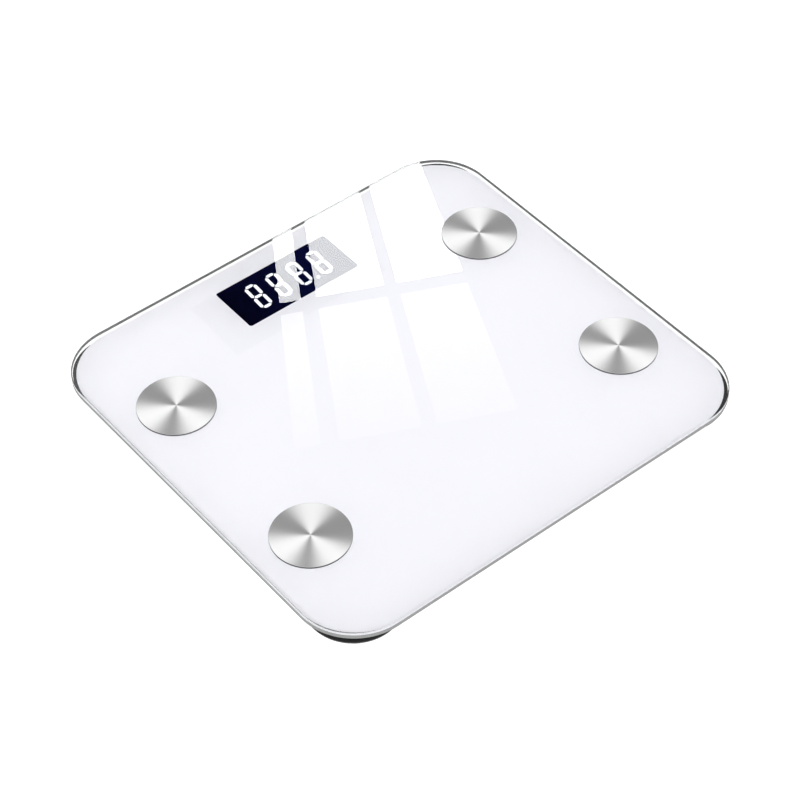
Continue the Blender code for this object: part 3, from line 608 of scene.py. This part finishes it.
def build_display():
    """The panel's face fills the film's window. Its lit bars lie in the glass's lower face."""
    face_top = PLATE_BASE + BOND_DEPTH
    body = block(PANEL_LOW.x, PANEL_HIGH.x, PANEL_LOW.y, PANEL_HIGH.y, PANEL_LOW.z, PANEL_HIGH.z)
    outline = rounded(
        WINDOW_X - 2 * PANEL_GAP, WINDOW_Y - 2 * PANEL_GAP, WINDOW_CORNER - PANEL_GAP, steps=8,
        at=(0, PANEL_AT_Y),
    )
    panel = shaped(body, joins=[prism(outline, PANEL_HIGH.z - PANEL_STEP, face_top)])
    add("display_panel", panel, display_face(), "platform", "lcd_panel")

    shape = bmesh.new()
    low, high = face_top - BAR_SUNK, face_top + BOND_DEPTH
    for place in range(FIGURE_COUNT):
        x0 = FIGURE_FIRST_X - FIGURE_WIDTH / 2 + place * FIGURE_PITCH
        for centre, length, upright in figure_bars():
            add_bar(shape, x0, centre, bar_outline(length), upright, low, high)
    dot_x = FIGURE_FIRST_X + DOT_PLACE * FIGURE_PITCH
    add_bar(shape, dot_x, (0, BAR / 2), circle(BAR / 2, 16), False, low, high)
    add("display_figures", finished(shape), lit_figures(), "platform")


def add_bar(shape, x0, centre, outline, upright, low, high):
    """One lit bar as a thin closed prism, slanted with its figure."""
    lean = math.tan(FIGURE_SLANT)
    ring = []
    for x, y in outline:
        x, y = (-y, x) if upright else (x, y)
        rise = centre[1] + y
        ring.append((x0 + centre[0] + x + rise * lean, FIGURE_BASE_Y + rise))
    skin(shape, [[(x, y, z) for x, y in ring] for z in (low, high)])


def housing_mesh():
    low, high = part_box("foot_housing_rear_right")
    radius = (high.x - low.x) / 2
    profile = [
        (0, high.z), (radius, high.z), (radius, high.z - HOUSING_SKIRT),
        (HOUSING_SHOULDER_R, HOUSING_SHOULDER), (HOUSING_BASE_R, low.z), (HOUSING_LIP_R, low.z),
        (HOUSING_LIP_R, HOUSING_LIP), (HOUSING_BASE_R, HOUSING_LIP),
        (HOUSING_SHOULDER_R - HOUSING_WALL, HOUSING_SHOULDER), (radius - HOUSING_WALL, HOUSING_CEILING),
        (0, HOUSING_CEILING),
    ]
    bowl = turned(eased(profile, HOUSING_EASE))
    way = block(-LEAD_WAY_HALF, LEAD_WAY_HALF, -2 * radius, -FOOT_R, LEAD_WAY_LOW, LEAD_WAY_TOP)
    return shaped(bowl, cuts=[way])


def foot_mesh():
    low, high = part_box("foot_rear_right")
    flange_low = HOUSING_LIP + FIT
    flange_high = flange_low + FOOT_FLANGE
    bore, floor = FOOT_R - FOOT_WALL, low.z + FOOT_WALL
    profile = [
        (0, high.z), (FOOT_BOSS_R, high.z), (FOOT_BOSS_R, floor), (bore, floor), (bore, flange_high),
        (FOOT_FLANGE_R, flange_high), (FOOT_FLANGE_R, flange_low), (FOOT_R, flange_low),
        (FOOT_R, low.z), (0, low.z),
    ]
    return turned(eased(profile, FOOT_EASE))


def pad_mesh():
    """A rubber disc with ring grooves in its tread."""
    low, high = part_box("foot_pad_rear_right")
    radius = (high.x - low.x) / 2
    profile = [(0, high.z), (radius, high.z), (radius, low.z)]
    for groove in reversed(PAD_GROOVES):
        profile += [
            (groove + PAD_GROOVE, low.z), (groove + PAD_GROOVE / 2, low.z + PAD_GROOVE),
            (groove - PAD_GROOVE / 2, low.z + PAD_GROOVE), (groove - PAD_GROOVE, low.z),
        ]
    profile.append((0, low.z))
    return turned(eased(profile, PAD_EASE))


def build_feet():
    housing, foot, pad = housing_mesh(), foot_mesh(), pad_mesh()
    plastic, rubber = black_plastic(), black_rubber()
    for end, sy in ENDS:
        for side, _ in SIDES:
            corner = f"{end}_{side}"
            place = {"at": (*middle_of("foot_" + corner), 0), "turn": 0 if sy > 0 else math.pi}
            body = "foot_unit_" + corner
            old = "foot_housing_" + corner
            piece = add("corner_cup_" + corner, housing, plastic, "platform", old, **place)
            piece = add("foot_cup_" + corner, foot, plastic, body, "foot_" + corner, **place)
            piece = add("tread_" + corner, pad, rubber, body, "foot_pad_" + corner, **place)


def build_tray():
    low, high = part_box("electronics_housing")
    size_x, size_y, middle = high.x - low.x, high.y - low.y, (low.y + high.y) / 2
    inside = low.z + CASE_FLOOR
    shell = eased_slab(
        size_x, size_y, CASE_CORNER, low.z, high.z + 2 * CASE_EDGE, CASE_EDGE, at=(0, middle)
    )
    hollow = rounded(
        size_x - 2 * CASE_WALL, size_y - 2 * CASE_WALL, CASE_CORNER - CASE_WALL, at=(0, middle)
    )
    above = block(-size_x, size_x, 0, 2 * high.y, high.z, 2 * high.z)
    tray = shaped(shell, cuts=[prism(hollow, inside, 2 * high.z), above])
    rails = block(-RAIL_X, RAIL_X, low.y + CASE_WALL / 2, RAIL_REAR, inside - CASE_FLOOR / 2, RAIL_TOP)
    walls = block(
        -BAY_X - BAY_WALL, BAY_X + BAY_WALL, BAY_FRONT - BAY_WALL, BAY_REAR + BAY_WALL,
        inside - CASE_FLOOR / 2, BAY_TOP + BAY_WALL,
    )
    _, door_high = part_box("battery_door")
    door_x = door_high.x - DOOR_TONGUE + FIT
    way = block(-door_x, door_x, 0, door_high.y + FIT, 0, door_high.z + FIT)
    groove_x, groove_low = door_high.x + FIT, door_high.z - TONGUE_THICK - FIT
    groove = block(-groove_x, groove_x, 0, door_high.y + FIT, groove_low, door_high.z + FIT)
    sleeve = round_bar(*middle_of("unit_button"), CAP_R + FIT, 0, inside + FIT)
    lead_ways = []
    for side, sx in SIDES:
        duct_low, duct_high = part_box("cross_duct_" + side)
        y0, y1 = duct_low.y + CHANNEL_WALL, duct_high.y - CHANNEL_WALL
        x0, x1 = sx * high.x - 2 * CASE_WALL, sx * high.x + 2 * CASE_WALL
        lead_ways.append(block(x0, x1, y0, y1, duct_low.z + CHANNEL_WALL, 2 * high.z))
    bay = block(-BAY_X, BAY_X, BAY_FRONT, BAY_REAR, 0, BAY_TOP)
    body = shaped(tray, joins=[rails, walls], cuts=[bay, way, groove, sleeve, *lead_ways])
    piece = add("display_tray", body, black_plastic(), "platform", "electronics_housing")


def build_battery_hatch():
    """A panel with soft edges, a tongue along each side and five finger grooves."""
    low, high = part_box("battery_door")
    middle, size_y = (low.y + high.y) / 2, high.y - low.y
    size_x = high.x - low.x
    panel = eased_slab(
        size_x - 2 * DOOR_TONGUE, size_y, DOOR_CORNER, low.z, high.z, DOOR_EDGE, steps=4
    )
    tongues = block(low.x, high.x, -size_y / 2, size_y / 2, high.z - TONGUE_THICK, high.z)
    first = low.y + GRIP_FROM_EDGE - middle
    grips = [
        lying_bar(GRIP_X, first + i * GRIP_PITCH, low.z - GRIP_DEPTH, 2 * GRIP_DEPTH)
        for i in range(GRIP_COUNT)
    ]
    hatch = shaped(panel, joins=[tongues], cuts=grips)
    at = (0, middle, 0)
    piece = add("battery_hatch", hatch, black_plastic(), "battery_cover", "battery_door", at=at)


def build_unit_cap():
    """A round cap with a shallow dish for the fingertip, on a flange."""
    low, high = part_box("unit_button")
    flange_r = (high.x - low.x) / 2
    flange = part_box("electronics_housing")[0].z + CASE_FLOOR + FIT
    profile = [
        (0, high.z), (flange_r, high.z), (flange_r, flange), (CAP_R, flange), (CAP_R, low.z),
        (CAP_R * 0.75, low.z), (CAP_R * 0.4, low.z + 0.8 * CAP_DISH), (0, low.z + CAP_DISH),
    ]
    cap = turned(eased(profile, CAP_EDGE))
    at = (*middle_of("unit_button"), 0)
    add("unit_cap", cap, white_plastic(), "button", "unit_button", at=at)


def build_channels():
    """Troughs with soft lower edges and their mouths to the glass."""
    plastic, wall = black_plastic(), CHANNEL_WALL
    for side, sx in SIDES:
        low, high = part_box("side_duct_" + side)
        middle = middle_of("side_duct_" + side)
        inside, top, beyond = low.z + wall, high.z + 2 * CHANNEL_EDGE, 2 * high.z
        trough = eased_slab(
            high.x - low.x, high.y - low.y, TROUGH_CORNER, low.z, top, CHANNEL_EDGE, at=middle
        )
        above = block(low.x - wall, high.x + wall, low.y - wall, high.y + wall, high.z, beyond)
        hollow = block(low.x + wall, high.x - wall, low.y + wall, high.y - wall, inside, beyond)
        lead = middle[0] + sx * LEAD_GAP / 2
        ends = block(
            lead - LEAD_GAP / 2, lead + LEAD_GAP / 2, low.y - wall, high.y + wall, LEAD_WAY, beyond
        )
        cross_low, cross_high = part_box("cross_duct_" + side)
        y0, y1 = cross_low.y + wall, cross_high.y - wall
        face = middle[0] - sx * (high.x - low.x) / 2
        mouth = block(face - 2 * wall, face + 2 * wall, y0, y1, inside, beyond)
        duct = shaped(trough, cuts=[above, hollow, ends, mouth])
        piece = add("side_channel_" + side, duct, plastic, "platform", "side_duct_" + side)

        arm = eased_slab(
            cross_high.x - cross_low.x, cross_high.y - cross_low.y, ARM_CORNER, cross_low.z, top,
            CHANNEL_EDGE, at=middle_of("cross_duct_" + side),
        )
        x0, x1 = cross_low.x - wall, cross_high.x + wall
        above = block(x0, x1, 0, 2 * cross_high.y, high.z, beyond)
        groove = block(x0, x1, y0, y1, inside, beyond)
        cross = shaped(arm, cuts=[above, groove])
        piece = add("cross_channel_" + side, cross, plastic, "platform", "cross_duct_" + side)


def finish_frame():
    """Gives every CAD node that still shows its material, by the record's slots."""
    finishes = {
        "black_plastic": black_plastic, "white_plastic": white_plastic, "black_rubber": black_rubber,
        "plated_steel": plated_steel, "green_board": green_board, "battery_label": battery_label,
        "wire_jacket": wire_jacket,
    }
    slots = {part["node"]: part["material_slot"] for part in frame["record"]["subparts"]}
    made = {}
    for name, thing in frame["nodes"].items():
        slot = slots[name]
        if thing.hide_render:
            continue
        if slot not in made:
            made[slot] = finishes[slot]()
        thing.data.materials.clear()
        thing.data.materials.append(made[slot])


# Studio.


def stage_material(name, colour, strength, albedo=0.0):
    made, _, shader = principled(
        name, Specular_IOR_Level=0.0, Roughness=1.0, Emission_Strength=strength
    )
    shader.inputs["Base Color"].default_value = (albedo, albedo, albedo, 1)
    shader.inputs["Emission Color"].default_value = (*colour, 1)
    return made


def stage_sheet(name, outline, matrix, material):
    shape = bmesh.new()
    shape.faces.new([shape.verts.new((x, y, 0)) for x, y in outline])
    mesh = bpy.data.meshes.new(name)
    shape.to_mesh(mesh)
    shape.free()
    mesh.materials.append(material)
    sheet = bpy.data.objects.new(name, mesh)
    bpy.context.scene.collection.objects.link(sheet)
    sheet.matrix_world = matrix
    return sheet


def build_floor():
    """A pale floor, open from below, for looking at the feet."""
    reach = FLOOR_REACH
    outline = [(-reach, -reach), (reach, -reach), (reach, reach), (-reach, reach)]
    pale = stage_material("floor", (1, 1, 1), FLOOR_GLOW, FLOOR_ALBEDO)
    tree = pale.node_tree
    side = node(tree, "NewGeometry").outputs["Backfacing"]
    clear = node(tree, "BsdfTransparent").outputs["BSDF"]
    shown = node(tree, "MixShader", {0: side, 2: clear})
    tree.links.new(tree.nodes["Principled BSDF"].outputs["BSDF"], shown.inputs[1])
    tree.links.new(shown.outputs["Shader"], tree.nodes["Material Output"].inputs["Surface"])
    stage_sheet("floor", outline, Matrix.Identity(4), pale)


def build_shade():
    """The dim floor under the plate, which the plate's far edges show through the glass."""
    outline = rounded(PLATE_X - 2 * SHADE_INSET, PLATE_Y - 2 * SHADE_INSET, PLATE_CORNER - SHADE_INSET)
    matrix = Matrix.Translation((0, 0, SHADE_HEIGHT))
    shade = stage_sheet("shade", outline, matrix, stage_material("shade", (1, 1, 1), SHADE_GLOW))
    shade.visible_camera = False
    shade.visible_diffuse = False
    shade.visible_glossy = False
    shade.visible_shadow = False


def window_frame():
    """The plane of the window that the glass mirrors: its own axes and its place."""
    flat = math.cos(PANES_RISE)
    up = Vector((math.sin(PANES_BEARING) * flat, math.cos(PANES_BEARING) * flat, math.sin(PANES_RISE)))
    side = up.cross(Vector((0, 0, 1))).normalized()
    right = math.cos(PANES_TILT) * side + math.sin(PANES_TILT) * up.cross(side)
    matrix = Matrix((right, up, right.cross(up))).transposed().to_4x4()
    matrix.translation = Vector((0, 0, PLATE_TOP)) + across(AZIMUTH, -ELEVATION) * PANES_AWAY
    return matrix


def reflected_only(sheet):
    """Shows in the glass's reflections and nowhere else."""
    sheet.visible_camera = False
    sheet.visible_diffuse = False
    sheet.visible_transmission = False
    sheet.visible_shadow = False
    sheet.light_linking.receiver_collection = bpy.data.collections["glass_only"]


def build_window():
    """Six panes in two rows, and a dark card behind the part that the display mirrors."""
    bpy.data.collections.new("glass_only").objects.link(bpy.data.objects["glass_slab"])
    matrix = window_frame()
    upper = stage_material("upper_panes", (0.97, 0.98, 1), UPPER_GLOW)
    lower, tree, shader = principled(
        "lower_panes", Specular_IOR_Level=0.0, Emission_Color=(1, 1, 1, 1)
    )
    shader.inputs["Base Color"].default_value = (0, 0, 0, 1)
    place = node(tree, "SeparateXYZ", {"Vector": node(tree, "TexCoord").outputs["Object"]})
    fade = spread(tree, place.outputs["Y"], *LOWER_GLOWS, FADE_LOW, FADE_HIGH)
    link(tree, fade, shader, "Emission Strength")
    for i, (left, right) in enumerate(PANE_COLUMNS):
        for row, (low, high), material in (("upper", UPPER_ROW, upper), ("lower", LOWER_ROW, lower)):
            middle = ((left + right) / 2, (low + high) / 2)
            outline = rounded(right - left, high - low, PANE_CORNER, steps=6, at=middle)
            reflected_only(stage_sheet(f"pane_{row}_{i}", outline, matrix, material))
    back = matrix.copy()
    back.translation = matrix.translation + matrix.to_3x3() @ Vector((0, 0, CARD_BEHIND))
    dark = stage_material("dark_card", (0.2, 0.3, 1), CARD_GLOW)
    reflected_only(stage_sheet("dark_card", CARD_CORNERS, back, dark))


def build_world():
    """An even pale room, dimmer where it is mirrored, with three soft lamps.

    Each lamp has a twin on the other side of the room that shows in reflections only."""
    world = bpy.data.worlds.new("studio")
    bpy.context.scene.world = world
    world.use_nodes = True
    tree = world.node_tree
    background = tree.nodes["Background"]
    background.inputs["Color"].default_value = (1, 1, 1, 1)
    view, mirrored = across(AZIMUTH, ELEVATION), across(AZIMUTH, -ELEVATION)
    away = Vector((view.x, view.y, 0)).normalized()
    beside = Vector((away.y, -away.x, 0))
    place = node(tree, "TexCoord").outputs["Generated"]

    def lobe(direction, inner, outer, low, high):
        """A soft spot of the sky: high within one half-angle, low past the other."""
        pair = {0: place, 1: direction}
        near = node(tree, "VectorMath", pair, operation="DOT_PRODUCT").outputs["Value"]
        limits = {
            "Value": near, "From Min": math.cos(math.radians(outer)),
            "From Max": math.cos(math.radians(inner)), "To Min": low, "To Max": high,
        }
        return node(tree, "MapRange", limits, interpolation_type="SMOOTHSTEP").outputs["Result"]

    path = node(tree, "LightPath").outputs
    gloss = {0: path["Is Glossy Ray"], 1: path["Is Transmission Ray"]}
    seen_in_gloss = node(tree, "Math", gloss, operation="SUBTRACT", use_clamp=True).outputs["Value"]
    room = node(tree, "Mix", {"Factor": seen_in_gloss}, data_type="FLOAT")
    spot = lobe(mirrored, MIRRORED_INNER, MIRRORED_OUTER, ROOM_GLOW, MIRRORED_GLOW)
    tree.links.new(spot, room.inputs["A"])
    room.inputs["B"].default_value = MIRRORED_GLOW
    light = room.outputs["Result"]
    for bearing, reach in LAMPS:
        turn = math.radians(bearing)
        radial = away * math.cos(turn) + beside * math.sin(turn)
        normal = radial * math.sin(RING_TILT) + Vector((0, 0, math.cos(RING_TILT)))
        direction = view - 2 * view.dot(normal) * normal
        lamp = {0: light, 1: lobe(direction, 0, reach, 0, 1)}
        light = node(tree, "Math", lamp, operation="ADD").outputs["Value"]
        behind = Vector((-direction.x, -direction.y, direction.z))
        twin = {0: lobe(behind, 0, reach, 0, 1), 1: seen_in_gloss, 2: light}
        light = node(tree, "Math", twin, operation="MULTIPLY_ADD").outputs["Value"]
    plain = node(tree, "Mix", {"Factor": path["Is Camera Ray"]}, data_type="FLOAT")
    tree.links.new(light, plain.inputs["A"])
    plain.inputs["B"].default_value = 1.0
    tree.links.new(plain.outputs["Result"], background.inputs["Strength"])


make_camera()
bpy.context.scene.view_settings.view_transform = "Standard"
build_platform()
build_electrodes()
build_display()
build_feet()
build_tray()
build_battery_hatch()
build_unit_cap()
build_channels()
finish_frame()
build_floor()
build_shade()
build_window()
build_world()
